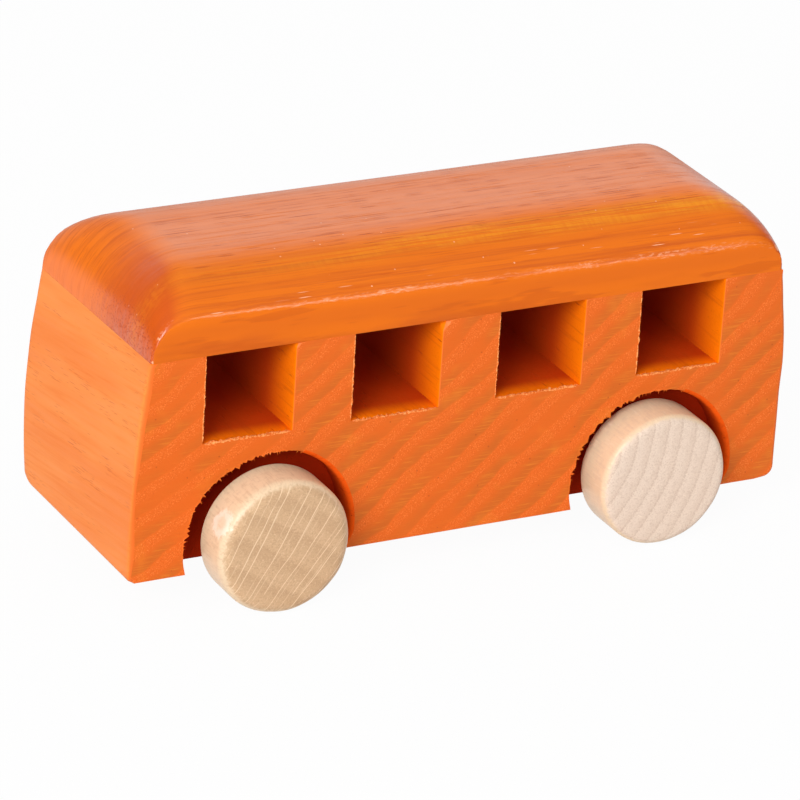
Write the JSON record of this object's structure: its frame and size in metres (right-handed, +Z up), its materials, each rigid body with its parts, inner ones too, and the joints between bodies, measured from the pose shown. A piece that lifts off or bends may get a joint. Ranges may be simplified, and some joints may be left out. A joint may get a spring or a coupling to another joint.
{
  "type": "toy bus",
  "caption": "Wooden toy bus: stained block with square window tunnels cut through its width, a rounded glued-on roof board and plain wooden wheels rolling on dowel axles.",
  "frame": {"origin": "on the floor under the middle of the bus, between the wheels", "axes": "+X towards the rear end, +Y towards the bus's own right side, +Z up"},
  "size_m": [0.143, 0.0676, 0.0679],
  "materials": {
    "stained_block": "orange stain, satin, end grain on the sides",
    "stained_board": "orange stain under gloss lacquer, long grain",
    "plain_wheel": "unpainted, sanded end grain",
    "axle_dowel": "unpainted dowel"
  },
  "bodies": {
    "bus": {"body": "stained_block", "roof": "stained_board"},
    "front_wheelset": {"front_axle": "axle_dowel", "front_left_wheel": "plain_wheel", "front_right_wheel": "plain_wheel"},
    "rear_wheelset": {"rear_axle": "axle_dowel", "rear_left_wheel": "plain_wheel", "rear_right_wheel": "plain_wheel"}
  },
  "joints": [
    {"name": "front_axle_spin", "type": "hinge", "parent": "bus", "child": "front_wheelset", "pos_m": [-0.0422, 0, 0.014], "axis": [0, 1, 0], "continuous": true},
    {"name": "rear_axle_spin", "type": "hinge", "parent": "bus", "child": "rear_wheelset", "pos_m": [0.0425, 0, 0.014], "axis": [0, 1, 0], "continuous": true}
  ]
}
